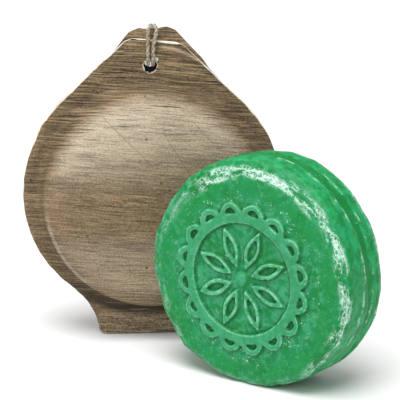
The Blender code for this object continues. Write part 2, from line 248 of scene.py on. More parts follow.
class Finish:
    """A node material under way, which reads places in millimetres from Object coordinates."""

    def __init__(self, name, centre=(0, 0, 0), turn=0):
        self.material = bpy.data.materials.new(name)
        self.material.use_nodes = True
        self.tree = self.material.node_tree
        self.shader = self.tree.nodes["Principled BSDF"]
        coordinates = self.value('ShaderNodeTexCoord', out="Object")
        self.place = self.value('ShaderNodeMapping', {
            "Vector": coordinates, "Location": Vector(centre) * MM, "Rotation": (0, 0, turn),
            "Scale": (MM, MM, MM)}, vector_type='TEXTURE')
        split = self.add('ShaderNodeSeparateXYZ', {0: self.place})
        self.x, self.y, self.z = (Value(self, socket) for socket in split.outputs)

    def add(self, kind, inputs, **settings):
        """A new node with its inputs and settings."""
        node = self.tree.nodes.new(kind)
        for key, value in settings.items():
            setattr(node, key, value)
        for key, value in inputs.items():
            self.link(value, node.inputs[key])
        return node

    def value(self, kind, inputs={}, out=0, **settings):
        """One output of a new node."""
        return Value(self, self.add(kind, inputs, **settings).outputs[out])

    def link(self, value, socket):
        """Link a value of this finish, or set a plain one."""
        if isinstance(value, Value):
            self.tree.links.new(value.socket, socket)
        else:
            socket.default_value = value

    def math(self, operation, *values):
        """One step of arithmetic."""
        return self.value('ShaderNodeMath', dict(enumerate(values)), operation=operation)

    def most(self, first, second):
        """The larger of two values."""
        return self.math('MAXIMUM', first, second)

    def least(self, first, second):
        """The smaller of two values."""
        return self.math('MINIMUM', first, second)

    def vector(self, *parts):
        """Three values as one vector."""
        return self.value('ShaderNodeCombineXYZ', dict(enumerate(parts)))

    def reach(self, x, z):
        """Distance from the piece's own axis, from two of its coordinates."""
        return self.value('ShaderNodeVectorMath', {0: self.vector(x, 0, z)}, "Value", operation='LENGTH')

    def step(self, low, high, value):
        """A smooth step from 0 at low to 1 at high, where low may be above high."""
        return self.value('ShaderNodeMapRange', {"Value": value, "From Min": low, "From Max": high},
                          interpolation_type='SMOOTHSTEP')

    def band(self, value, centre, half, soft):
        """1 within half of a centre, falling to 0 over soft."""
        return self.step(half + soft, half, self.math('ABSOLUTE', value - centre))

    def clouds(self, where, scale, detail=3, rough=0.55, bend=0, out=0):
        """Smooth noise from 0 to 1."""
        return self.value('ShaderNodeTexNoise', {
            "Vector": where, "Scale": scale, "Detail": detail, "Roughness": rough, "Distortion": bend}, out)

    def cells(self, where, scale, feature='DISTANCE_TO_EDGE'):
        """Distance inside a cell pattern."""
        return self.value('ShaderNodeTexVoronoi', {"Vector": where, "Scale": scale}, "Distance",
                          feature=feature)

    def stretched(self, *factors):
        """The place scaled by its own factor along each axis."""
        return self.value('ShaderNodeVectorMath', {0: self.place, 1: factors}, operation='MULTIPLY')

    def blend(self, share, below, above):
        """Mix two colours by a share; a colour may be a value, a screen code or three numbers."""
        below, above = (linear(c) if isinstance(c, str) else c for c in (below, above))
        below, above = (c if isinstance(c, Value) else (*c[:3], 1) for c in (below, above))
        return self.value('ShaderNodeMix', {0: share, 6: below, 7: above}, 2, data_type='RGBA',
                          clamp_factor=True)

    def lay(self, share, colour):
        """Lay one more colour over this finish."""
        self.colour = self.blend(share, self.colour, colour)

    def spread(self, share, low, high):
        """Turn a 0 to 1 share into a value between two numbers."""
        return self.value('ShaderNodeMapRange', {"Value": share, "To Min": low, "To Max": high})

    def wrinkle(self, height, strength, depth):
        """Bump from a height share, with its depth in millimetres."""
        return self.value('ShaderNodeBump', {"Strength": strength, "Distance": depth * MM, "Height": height})

    def coat(self, colour, roughness, **others):
        """Wire the shader and return the material."""
        for key, value in {"Base Color": colour, "Roughness": roughness, **others}.items():
            self.link(value, self.shader.inputs[key.replace("_", " ")])
        return self.material


# Settings

LengthProperty = partial(FloatProperty, unit='LENGTH')
AngleProperty = partial(FloatProperty, subtype='ANGLE')
ColourProperty = partial(FloatVectorProperty, subtype='COLOR')


class SoapSettings(bpy.types.PropertyGroup):
    radius: LengthProperty(name="Radius", description="Radius of the puck", default=37.3 * MM)
    thickness: LengthProperty(name="Thickness", description="Thickness without the emblem", default=23 * MM)
    relief: LengthProperty(name="Emblem height", description="How far the emblem stands out of the face",
                           default=1.2 * MM)
    grain: LengthProperty(name="Mesh grain", description="Size of the mesh's cells", default=0.43 * MM)
    body_colour: ColourProperty(name="Body", description="Soap on the face", default=(0.006, 0.236, 0.08))
    deep_colour: ColourProperty(name="Deep", description="Soap in hollows", default=(0.002, 0.19, 0.034))
    film_colour: ColourProperty(name="Film", description="Dry film on raised parts",
                                default=(0.05, 0.33, 0.16))
    bloom_colour: ColourProperty(name="Bloom", description="White bloom along worn edges",
                                 default=linear("cdebdc"))


class LeafSettings(bpy.types.PropertyGroup):
    wall: LengthProperty(name="Wall", description="Thickness of the leaf", default=1.5 * MM)
    segments: IntProperty(name="Segments", description="Steps round a shell", default=360)
    leaf_colour: ColourProperty(name="Leaf", description="Middle tone of the leaf", default=linear("79654a"))
    dark_colour: ColourProperty(name="Dark streaks", description="Slits and dark streaks",
                                default=linear("50432f"))
    # Pale dome colour: rubbed wear together with painted light, also used for the painted shoulder highlight
    rubbed_and_lit_colour: ColourProperty(name="Rubbed", description="Pale, rubbed leaf on the dome",
                                  default=linear("cfbfa9"))
    cut_colour: ColourProperty(name="Cut edge", description="Fresh cut edge of the leaf",
                               default=linear("ebe5da"))


class TwineSettings(bpy.types.PropertyGroup):
    radius: LengthProperty(name="Radius", description="Radius of the twine", default=TWINE_RADIUS * MM)
    pitch: LengthProperty(name="Pitch", description="Length of one full twist", default=5.2 * MM)
    cord_colour: ColourProperty(name="Twine", description="Main colour", default=linear("a09581"))
    fleck_colour: ColourProperty(name="Flecks", description="Tan flecks", default=linear("80683f"))


class StageSettings(bpy.types.PropertyGroup):
    floor_colour: ColourProperty(name="Floor", description="Pale floor", default=(0.82, 0.82, 0.82))
    lens: FloatProperty(name="Lens", description="Focal length in millimetres", default=124.2)
    bearing: AngleProperty(name="Bearing", description="How far left of the front the camera stands",
                           default=math.radians(4))
    lift: AngleProperty(name="Lift", description="How steeply the camera looks down",
                        default=math.radians(12.4))
    distance: LengthProperty(name="Distance", description="From the camera to its aim", default=0.5)
    aim: FloatVectorProperty(name="Aim", description="Point the camera looks at", subtype='TRANSLATION',
                             default=(17 * MM, 0, 49.3 * MM))
    key: FloatProperty(name="Key", description="Strength of the soft light from above", default=2.95)
    key_softness: AngleProperty(name="Key softness", description="How wide the key light is",
                                default=math.radians(38))
    top_power: FloatProperty(name="Top power", description="Power of the top light in watts", default=0.5)
    front_power: FloatProperty(name="Front power", description="Power of the low front light in watts",
                               default=1)
    sky: FloatProperty(name="Sky", description="Strength of the even light", default=0.43)


# Soap puck

def soap_profile(radius, half):
    """Side of the puck from the middle of its front to the middle of its back, front up."""
    points = [(0, half), (radius - 14, half), (radius - 8, half - 0.05)]
    for index in range(1, 8):
        angle = TURN / 4 * index / 7
        points.append((radius - 4.2 + 4 * math.sin(angle), half - 2.8 + 2.75 * math.cos(angle)))
    points += [
        (radius, half - 5.6), (radius + 0.35, half - 8.6), (radius + 0.5, half - 9.9),
        (radius + 0.2, half - 10.7), (radius - 0.55, half - 11.2), (radius - 0.5, half - 12.2),
        (radius + 0.2, half - 14.6), (radius + 0.6, half - 15.9), (radius + 0.3, half - 16.5),
        (radius - 0.55, half - 16.9), (radius - 0.4, half - 17.9), (radius + 0.1, half - 19.6),
    ]
    for index in range(0, 6):
        angle = TURN / 4 * index / 5
        points.append((radius - 2.6 + 2.6 * math.cos(angle), -half + 2.8 - 2.8 * math.sin(angle)))
    points.append((0, -half))
    return points


def raised_outline(name, points, bar, low, high):
    """A raised bar that follows the inside of a closed (x, y) outline, in millimetres."""
    deselect_all()
    bpy.ops.mesh.primitive_circle_add(vertices=len(points), radius=MM, fill_type='NGON')
    item = bpy.context.object
    item.name = name
    for vert, point in zip(item.data.vertices, points):
        vert.co = Vector((point[0], point[1], low)) * MM
    edit(item, 'FACE')
    face_outwards()
    bpy.ops.mesh.inset(thickness=bar * MM, depth=0)
    bpy.ops.mesh.delete(type='FACE')
    bpy.ops.mesh.select_all(action='SELECT')
    bpy.ops.mesh.extrude_region_move(TRANSFORM_OT_translate={"value": (0, 0, (high - low) * MM)})
    face_outwards()
    done()
    return item


def copies_round(item, count):
    """Turned copies of one piece about the Z axis, each with its own mesh."""
    group = [item]
    for index in range(1, count):
        take(item)
        bpy.ops.object.duplicate()
        copy = bpy.context.object
        copy.rotation_euler = (0, 0, TURN * index / count)
        group.append(settle(copy))
    return group


def emblem(face, height):
    """A ring of sixteen small arches round eight leaf outlines and a button."""
    low, high = face - 1.4, face + height
    ring = [(20.9 * math.cos(TURN * i / 96), 20.9 * math.sin(TURN * i / 96)) for i in range(96)]
    parts = [raised_outline("emblem_ring", ring, 2.3, low, high)]

    foot, half_width, rise = 19.9, 4.45, 5.5
    arch = [(foot + rise * math.sin(math.pi * i / 15), -half_width * math.cos(math.pi * i / 15))
            for i in range(16)]
    arch_bar = raised_outline("emblem_arch", arch, 1.75, low, high - 0.05)
    arch_bar.rotation_euler = (0, 0, TURN / 32)
    parts += copies_round(settle(arch_bar), 16)

    start, end, half_width, steps = 3.9, 17.6, 2.55, 12
    leaf = []
    for side in (1, -1):
        for index in range(steps):
            share = index / steps if side > 0 else 1 - index / steps
            leaf.append((start + (end - start) * share, -side * half_width * math.sin(math.pi * share)))
    leaf_bar = raised_outline("emblem_leaf", leaf, 1.15, low, high - 0.1)
    leaf_bar.rotation_euler = (0, 0, TURN / 16)
    parts += copies_round(settle(leaf_bar), 8)

    deselect_all()
    bpy.ops.mesh.primitive_uv_sphere_add(segments=24, ring_count=12, radius=2.5 * MM,
        location=(0, 0, face * MM))
    button = bpy.context.object
    button.scale = (1, 1, 0.5)
    parts.append(settle(button))
    return parts


def soap_finish(settings):
    """Waxy green soap with a dry film, painted shade in the emblem's hollows and white bloom on its worn
    edges.
    """
    half = settings.thickness / MM / 2
    radius = settings.radius / MM
    f = Finish("soap_green", PUCK_CENTRE, -PUCK_TURN)
    front = f.y * -1
    reach = f.reach(f.x, f.z)
    away = f.most(reach, 1)
    right = f.x / away
    up = f.z / away
    # Length over the surface from the middle of the face, over the rim and along the side
    along = reach - (front - half)

    patches = f.clouds(f.place, 0.09, 3, 0.5, 0.4)
    blots = f.clouds(f.place, 0.24, 4, 0.6, 0.6)
    fine = f.clouds(f.place, 0.55, 5, 0.62, 0.2)
    f.colour = f.blend(f.step(0.42, 0.64, patches), settings.body_colour, settings.deep_colour)
    f.lay(f.step(0.5, 0.62, blots) * 0.7, settings.film_colour)
    f.lay(f.step(0.49, 0.38, blots) * 0.7, settings.deep_colour)
    f.lay(f.step(0.46, 0.66, fine) * 0.55, settings.film_colour)

    inward = along + f.spread(patches, -2.2, 2.2) + f.step(-0.2, 0.7, up) * 2.4
    inner_rim = f.band(inward, radius - 5.2, 1.6, 3) * f.step(0.4, 0.6, blots)
    f.lay(inner_rim * 0.85, (0.001, 0.225, 0.04))

    on_face = f.step(half - 1.5, half - 0.6, front)
    raised = f.step(half + 0.45, half + 0.95, front)
    in_emblem = on_face * f.step(26.6, 25, f.reach(f.x + 1.5, f.z + 0.8))
    shape = f.value('ShaderNodeNewGeometry', out="Pointiness")
    # Painted shade: concave places in the emblem, found by pointiness, are darkened as if shaded
    emblem_recess_shade = f.step(0.498, 0.455, shape) * on_face
    edge = f.step(0.515, 0.56, shape)
    f.lay(emblem_recess_shade * in_emblem, (0.002, 0.1, 0.016))
    f.lay(raised * f.spread(fine, 0.25, 0.75), settings.film_colour)

    side = f.step(radius + 1, radius + 4, along)
    side_tone = f.clouds(f.vector(right * 9, up * 9, along * 0.35), 1, 4, 0.6, 0.5)
    side_colour = f.blend(f.step(0.35, 0.62, side_tone), (0.002, 0.21, 0.042), (0.016, 0.35, 0.118))
    f.lay(side * 0.8, side_colour)
    behind_lip = f.band(along + f.spread(patches, -2, 2), radius + 13.2, 1.2, 1.2)
    behind_lip = behind_lip * f.step(-0.6, 0.2, up)
    f.lay(behind_lip * 0.75, (0.001, 0.17, 0.026))

    # White bloom: broken threads that run round the worn rim
    round_rim = f.vector(right * 8, up * 8, along * 0.72)
    bend = f.clouds(round_rim, 0.9, 3, 0.5, 0, "Color")
    bent = f.value('ShaderNodeVectorMath', {0: bend, 1: (1.1, 1.1, 2.2), 2: round_rim},
                   operation='MULTIPLY_ADD')
    threads = f.cells(bent, 1)
    thin_threads = f.cells(bent, 2.1)
    crumbs = f.cells(f.vector(f.x, front * 1.4, f.z + fine * 1.6), 0.62)
    lace = f.most(f.step(0.1, 0.02, threads), f.step(0.12, 0, thin_threads) * 0.7)
    lace = f.most(lace * f.step(0.35, 0.55, fine), f.step(0.13, 0.04, crumbs) * 0.85)
    towards = right * math.cos(math.radians(42)) + up * math.sin(math.radians(42))
    worn_side = f.step(-0.35, 0.45, towards)
    breaks = f.clouds(round_rim, 0.55, 4, 0.65)
    on_front = f.step(0.6 - half, 2.4 - half, front)
    rim_band = f.band(inward, radius + 0.4, 1.3, 2.6)
    bloom = rim_band * f.spread(worn_side, 0.26, 0.84) * on_front * f.step(0.43, 0.55, breaks)
    bloom = bloom * (lace + f.step(0.52, 0.7, breaks) * 0.6)
    back_rim = f.band(front, 1.6 - half, 0.7, 1.6) * f.step(radius - 4, radius - 1.5, reach)
    bloom = bloom + back_rim * lace * f.step(0.42, 0.6, breaks) * 0.8

    # Pale broken lines along the two lips of the side, and short chips beside the emblem
    astray = along + f.spread(side_tone, -2, 2) + f.spread(fine, -1, 1)
    lips = f.most(f.band(astray, radius + 10.4, 0.15, 0.6), f.band(astray, radius + 16, 0.1, 0.5))
    gaps = f.clouds(f.place, 0.16, 3, 0.7)
    lips = lips * f.step(0.47, 0.58, gaps) * on_front * f.step(0.38, 0.5, fine) * 0.5
    dabs = f.step(0.64, 0.72, side_tone) * side * on_front * f.step(0.5, 0.62, fine) * 0.45
    speck_field = f.clouds(f.place, 1.5, 2, 0.6)
    beside = f.most(f.band(f.reach(f.x + 1.5, f.z + 0.8), 26.6, 1.4, 2.4), 0.3)
    specks = f.step(0.61, 0.7, speck_field) * beside * f.step(0.42, 0.6, fine)
    # Pale raised emblem edges, found by pointiness: partly rubbed soap, partly a painted highlight
    rubbed_and_highlit_edges = edge * in_emblem * f.step(0.35, 0.55, fine) * 0.7
    f.lay(rubbed_and_highlit_edges * 1, "8fd3b0")
    white = f.least(bloom + lips + dabs + specks * 0.9, 1)
    f.lay(white, settings.bloom_colour)

    height = fine * 0.5 + f.clouds(f.place, 2.4, 3, 0.6) * 0.25 + white * 0.6
    roughness = f.spread(f.least(white + fine * 0.35, 1), 0.42, 0.78)
    return f.coat(f.colour, roughness, Normal=f.wrinkle(height, 0.55, 0.35), Subsurface_Weight=0.18,
        Subsurface_Radius=(0.35, 1, 0.5), Subsurface_Scale=2 * MM, IOR=1.45, Specular_IOR_Level=0.26)


class SOAPCASE_OT_soap(bpy.types.Operator):
    """Add the stamped soap puck"""
    bl_idname = "soapcase.soap"
    bl_label = "Add soap puck"

    def execute(self, context):
        settings = context.scene.soap_puck
        radius = settings.radius / MM
        half = settings.thickness / MM / 2
        body = turn_profile("soap_body", soap_profile(radius, half), 128)
        raised = join(emblem(half, settings.relief / MM), "soap_emblem")
        raised.location = (-1.5 * MM, -0.8 * MM, 0)
        puck = join([body, settle(raised)], "soap_body")
        apply_modifier(puck, 'REMESH', mode='VOXEL', voxel_size=settings.grain, use_smooth_shade=True)
        apply_modifier(puck, 'SMOOTH', factor=0.5, iterations=2)

        side = weigh(puck, "side", lambda p: ease(radius - 8, radius - 3, p.xy.length))
        rim = weigh(puck, "rim", lambda p: (
            ease(radius - 7, radius - 3, p.xy.length) * ease(half - 8, half - 4, p.z)))
        face = weigh(puck, "face", lambda p: (
            ease(half - 3, half - 1, p.z) * ease(radius - 1, radius - 6, p.xy.length)))
        add_clouds(puck, "soap_lumps", 14, 1.1, group=side)
        add_clouds(puck, "soap_dents", 4.5, 0.9, group=side)
        add_clouds(puck, "soap_drift", 16, 2.4, direction='Z', group=side)
        add_clouds(puck, "soap_chips", 1.7, 0.7, group=rim)
        add_clouds(puck, "soap_face", 12, 0.9, group=face)
        add_clouds(puck, "soap_grain", 2.2, 0.22, group=face)
        puck.vertex_groups.clear()
        for vert in puck.data.vertices:
            p = vert.co / MM
            angle = math.atan2(p.y, p.x)
            wander = 3 * math.sin(angle - 0.6) + 0.9 * math.sin(3 * angle + 1)
            on_side = ease(radius - 5, radius - 1.5, p.xy.length)
            vert.co.z += wander * on_side * max(0, 1 - (p.z / half) ** 2) * MM
            fuller = 0.4 + 1.2 * max(0, math.cos(angle - 3.6)) ** 3 + 0.9 * max(0,
                math.cos(angle - 1.4)) ** 4
            fuller *= ease(-0.95, -0.6, math.sin(angle)) * ease(25, radius, p.xy.length)
            vert.co.xy += p.xy.normalized() * fuller * MM
            across, along = (p.x + 18.5) * 0.6 - (p.y - 25) * 0.8, (p.x + 18.5) * 0.8 + (p.y - 25) * 0.6
            pinch = math.exp(-across ** 2 / 2.2 - along ** 2 / 26)
            vert.co.z -= 0.9 * pinch * ease(half - 5, half - 1, p.z) * MM
            worn = max(0, math.cos(angle - 1.1)) ** 1.5 * ease(radius - 8, radius + 0.5, p.xy.length)
            vert.co.z -= 2.2 * worn * ease(half - 9, half - 1, p.z) * MM

        puck.location = PUCK_CENTRE * MM
        puck.rotation_euler = (TURN / 4, 0, -PUCK_TURN)
        settle(puck)
        for vert in puck.data.vertices:
            vert.co.z = max(vert.co.z, 0)
        puck.data.shade_smooth()
        puck.data.materials.clear()
        puck.data.materials.append(soap_finish(settings))
        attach(puck, "puck")
        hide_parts("soap_puck")
        return {'FINISHED'}


# Palm-leaf shells

def arc_points(centre, radius, start, end, steps):
    """Points on an arc in the (x, z) plane, both ends included."""
    angles = [start + (end - start) * i / steps for i in range(steps + 1)]
    return [(centre[0] + radius * math.cos(a), centre[1] + radius * math.sin(a)) for a in angles]


def shell_outline(foot_z, foot_cut, top_left, top_right):
    """Closed outline of a shell from its foot, with an own top corner on each side.

    The part below the widest place is drawn round and then pressed flatter by LOWER_SQUASH.
    """
    foot_z = SIDE_CENTRE_Z - (SIDE_CENTRE_Z - foot_z) / LOWER_SQUASH
    neck_x = FOOT_HALF_WIDTH + NECK_RADIUS
    neck_z = SIDE_CENTRE_Z - math.sqrt((SIDE_RADIUS + NECK_RADIUS) ** 2 - neck_x ** 2)
    touch = math.atan2(neck_z - SIDE_CENTRE_Z, neck_x)
    start = math.pi - math.asin((foot_z + foot_cut - neck_z) / NECK_RADIUS)
    halves = []
    for corner in (top_right, top_left):
        width, height = abs(corner[0]), corner[1]
        rise = height - SIDE_CENTRE_Z
        flank = math.atan2(rise, width) - math.acos(SIDE_RADIUS / math.hypot(width, rise))
        points = [(FOOT_HALF_WIDTH - foot_cut, foot_z)]
        points += arc_points((neck_x, neck_z), NECK_RADIUS, start, math.pi + touch, 24)
        points += arc_points((0, SIDE_CENTRE_Z), SIDE_RADIUS, touch, flank, 60)[1:]
        last = Vector(points[-1])
        tip = Vector((width, height))
        bow = (last - tip).normalized()
        for share in (1, 0.55, 0.2):
            points.append(tuple(tip + bow * 1.6 * share + Vector((-1.6 * (1 - share), 0))))
        points.append((width - 1.7, height))
        points = [(x, min(z, SIDE_CENTRE_Z) * LOWER_SQUASH + SIDE_CENTRE_Z * (1 - LOWER_SQUASH)
                   + max(0, z - SIDE_CENTRE_Z)) for x, z in points]
        halves.append(points)
    return halves[0] + [(-x, z) for x, z in reversed(halves[1])]


def outline_reach(outline, angle):
    """Distance from the dome's centre to an outline in one direction."""
    way = Vector((math.cos(angle), math.sin(angle)))
    across = Vector((-way.y, way.x))
    centre = Vector((0, DOME_CENTRE_Z))
    best = 0
    for start, end in zip(outline, outline[1:] + outline[:1]):
        first, second = Vector(start) - centre, Vector(end) - centre
        low, high = first.dot(across), second.dot(across)
        if (low <= 0 < high) or (high <= 0 < low):
            share = low / (low - high)
            best = max(best, (first + (second - first) * share).dot(way))
    return best


def dome_rings(wall):
    """Radius and height of the outer face from the crown to the flange, then out to the edge."""
    depth = DOME_INNER_DEPTH + wall
    radius = DOME_INNER_RADIUS + wall
    rim = radius - DOME_SHOULDER[0]
    rings = []
    for index in range(15):
        share = index / 15
        rings.append((rim * share, depth + DOME_CROWN * (1 - share ** 2)))
    rings += [(rim + DOME_SHOULDER[0] * math.sin(TURN / 4 * i / 10),
               depth - DOME_SHOULDER[1] * (1 - math.cos(TURN / 4 * i / 10))) for i in range(11)]
    flare = FLANGE_START - radius - DOME_DRAFT
    rings += [(FLANGE_START - flare * math.cos(TURN / 4 * i / 6),
               wall + DOME_FLARE * (1 - math.sin(TURN / 4 * i / 6))) for i in range(7)]
    rings += [(FLANGE_START + (i + 1), wall) for i in range(EDGE_RINGS)]
    return rings, FLANGE_START + EDGE_RINGS


def leaf_finish(settings, name, front):
    """Pressed palm leaf: fine streaks, slits, tan lines, scratches, a dome paler from rubbing and painted
    light, a painted highlight on its shoulder, painted shade below it and, on the back leaf, painted shade
    round the hole.
    """
    f = Finish(name, (0, 0, DOME_CENTRE_Z))
    reach = f.reach(f.x, f.z)
    slow = f.clouds(f.place, 0.014, 2, 0.5)
    drift = f.clouds(f.place, 0.16, 2, 0.5)
    waver = f.clouds(f.place, 0.06, 1, 0.5)
    lean = f.y * (0.22 if front else -0.22)
    level = f.z + lean + f.x * 0.07 + f.spread(slow, -2.5, 2.5) + f.spread(waver, -0.3, 0.3)

    layer = 0 if front else 7
    fine = f.clouds(f.vector(f.x * 0.1, layer, level * 2.9), 1, 3, 0.75)
    streaks = f.clouds(f.vector(f.x * 0.035, layer, level * 1.05), 1, 3, 0.65)
    bands = f.clouds(f.vector(f.x * 0.012, layer, level * 0.13), 1, 2, 0.5)
    grit = f.clouds(f.place, 1.7, 2, 0.7)

    tone = f.step(0.4, 0.6, fine) * 0.36 + f.step(0.36, 0.64, streaks) * 0.2 + f.step(0.34, 0.66,
        bands) * 0.16 + f.step(0.38, 0.62, grit) * 0.32
    f.colour = f.blend(f.step(0.10, 0.66, tone), settings.dark_colour, settings.leaf_colour)
    f.lay(f.step(0.52, 0.95, tone) * 0.85, "a08868")

    # The dome is paler on its upper left and in a low band: partly rubbed wear, partly painted light from
    # the upper left
    on_dome = f.step(DOME_INNER_RADIUS + 2, DOME_INNER_RADIUS - 5, reach)
    lit = f.clouds(f.stretched(0.03, 0.03, 0.045), 1, 2, 0.5)
    high = f.step(2, 24, f.z + f.x * -0.12 + f.spread(lit, -8, 8))
    leftward = f.step(24, -22, f.x)
    low = f.band(f.z, -24, 5, 12) * 0.35
    rub_and_light = f.most(high * f.spread(leftward, 0.74, 1), low)
    rubbed_and_lit = on_dome * rub_and_light * f.spread(tone, 0.3, 1.15)
    f.lay(rubbed_and_lit, settings.rubbed_and_lit_colour)
    # Fine threads of the leaf, dark between pale, clearest on the flat rim
    threads = f.clouds(f.vector(f.x * 0.055, layer + 5, level * 1.7), 1, 2, 0.6)
    off_dome = f.spread(on_dome, 1, 0.42) * f.spread(f.step(0.42, 0.58, lit), 0.6, 1)
    f.lay(f.step(0.575, 0.605, threads) * off_dome * 0.85, "2f2519")
    f.lay(f.step(0.425, 0.395, threads) * off_dome * 0.5, "c2ab86")
    # Painted shade: a dark band in the valley round the dome, strongest below it
    below = f.step(-24, -42, f.z)
    valley_shade = f.band(reach, FLANGE_START - 0.9, 1.6, 2.6) * f.spread(below, 0.22, 0.95)
    f.lay(valley_shade, "352b20")
    foot = f.step(-41, -47, f.z) * f.step(0.3, 0.85, tone)
    f.lay(foot * 0.75, "b5a48b")
    # Painted highlight: a pale line along the dome's lower-left shoulder
    shoulder_highlight = f.band(reach, DOME_INNER_RADIUS + 0.4, 0.35, 0.8) * f.step(-20, -28, f.x) * f.step(2,
        -12, f.z)
    f.lay(shoulder_highlight * 0.4 * f.step(0.3, 0.6, streaks), settings.rubbed_and_lit_colour)

    slit_field = f.clouds(f.vector(f.x * 0.06, layer + 3, level * 1.9), 1, 2, 0.5)
    upper = f.step(14, 44, f.z)
    slits = f.step(0.625, 0.65, slit_field) * f.spread(upper, 0.3, 1)
    f.lay(slits, "2c2318")
    tan_field = f.clouds(f.vector(f.x * 0.04, layer + 11, level * 1.7), 1, 2, 0.5)
    f.lay(f.step(0.64, 0.7, tan_field) * 0.5, "b99a6c")

    scratches = 0
    for middle_x, middle_z, tilt, length, depth in SCRATCHES:
        cos, sin = math.cos(math.radians(tilt)), math.sin(math.radians(tilt))
        across_x, across_z = (f.x - middle_x, f.z - middle_z)
        run = across_x * cos + across_z * sin
        off = across_x * -sin + across_z * cos + f.spread(waver, -0.5, 0.5)
        mark = f.band(off, 0, 0.03, 0.16) * f.band(run, 0, length * 0.5 - 2, 2) * depth
        scratches = f.most(scratches, mark)
    scratches = scratches * f.step(0.3, 0.52, grit)
    f.lay(scratches, "352a1d")
    specks = f.step(0.16, 0.05, f.cells(f.place, 0.22, 'F1'))
    f.lay(specks * f.step(0.5, 0.65, drift) * 0.8, "30261b")

    # Round the twine's hole the leaf is torn and pale
    hole_x = f.x - HOLE_X + f.spread(f.clouds(f.place, 0.9, 2), -0.8, 0.8)
    hole_z = f.z + (DOME_CENTRE_Z - HOLE_Z)
    torn = f.step(HOLE_RADIUS + 0.55, HOLE_RADIUS + 0.2, f.reach(hole_x, hole_z))
    if front:
        flap = f.step(1, 0.6, f.reach(hole_x - 2.2, hole_z - 2.4))
        torn = f.most(torn * f.step(0.35, 0.5, fine) * 0.8, flap)
        f.lay(torn, "e2dacb")
    else:
        # Painted shade: the back leaf's inner face round the hole is darkened almost to black
        hole_shade = f.step(4.6, 3.2, f.reach(hole_x, hole_z)) * f.step(0.2, -0.3, f.y)
        f.lay(hole_shade, (0.006, 0.005, 0.004))
    height = tone + slits * -0.9 + scratches * -0.5
    if front:
        # The outer ply has come off above a curved tear on the right of the top
        tear = f.z + (DOME_CENTRE_Z - 106.2) + f.x * f.x * 0.02 + f.spread(drift, -0.5, 0.5) + fine * 0.8
        right = f.step(1, 4, f.x) * f.step(22, 19.5, f.x)
        bare = f.step(0.35, 0.75, tear) * right
        lip = f.band(tear, -0.35, 0.25, 0.5) * right * f.spread(f.step(0.4, 0.58, fine), 0.45, 1)
        plies = f.clouds(f.vector(f.x * 0.09, 2, tear * 1.6), 1, 3, 0.6)
        f.lay(bare * f.spread(f.step(0.4, 0.5, plies), 0.95, 0.12), "2b2118")
        f.lay(lip * 0.8, "bda688")
        height = height + bare * -2
    roughness = f.spread(f.least(tone, 1), 0.75, 0.5)
    return f.coat(f.colour, roughness, Normal=f.wrinkle(height, 0.7, 0.22), Specular_IOR_Level=0.3)


def cut_edge_finish(settings):
    """Pale cut edge of the leaf with its fibres showing."""
    f = Finish("leaf_cut_edge")
    fibres = f.clouds(f.stretched(0.4, 3, 1.6), 1, 3, 0.6)
    dirt = f.clouds(f.place, 0.12, 3, 0.6)
    colour = f.blend(f.step(0.30, 0.60, fibres), "b3a48c", settings.cut_colour)
    soiled = f.step(0.48, 0.7, dirt) * f.spread(f.step(60, 90, f.z), 0.9, 0.3)
    colour = f.blend(soiled, colour, settings.leaf_colour)
    return f.coat(colour, 0.85, Normal=f.wrinkle(fibres, 0.6, 0.2))


def hole_wall_shade_finish(settings):
    """Torn leaf inside the hole, darkened as painted shade."""
    f = Finish("leaf_hole_wall_shade")
    fibres = f.clouds(f.stretched(0.8, 0.8, 2.5), 1, 3, 0.6)
    colour = f.blend(f.step(0.35, 0.7, fibres), "1d1610", "463a2b")
    return f.coat(colour, 0.9, Normal=f.wrinkle(fibres, 0.6, 0.2))


def drill_ragged_hole(shell, finish, seed, lift, width, height):
    """Cut an oval hole for the twine with a torn edge."""
    rng = random.Random(seed)
    deselect_all()
    bpy.ops.mesh.primitive_cylinder_add(vertices=30, radius=MM, depth=12 * MM,
        rotation=(TURN / 4, 0, 0))
    drill = settle(bpy.context.object)
    swell = [rng.uniform(-0.1, 0.16) for _ in range(30)]
    for vert in drill.data.vertices:
        index = int(round(math.atan2(vert.co.z, vert.co.x) / TURN * 30)) % 30
        vert.co.x = vert.co.x * width * (1 + swell[index]) + HOLE_X * MM
        vert.co.z = vert.co.z * height * (1 + swell[index]) + (HOLE_Z + lift) * MM
    drill.data.materials.append(finish)
    apply_modifier(shell, 'BOOLEAN', operation='DIFFERENCE', solver='EXACT', object=drill,
        material_mode='TRANSFER')
    bpy.data.objects.remove(drill, do_unlink=True)


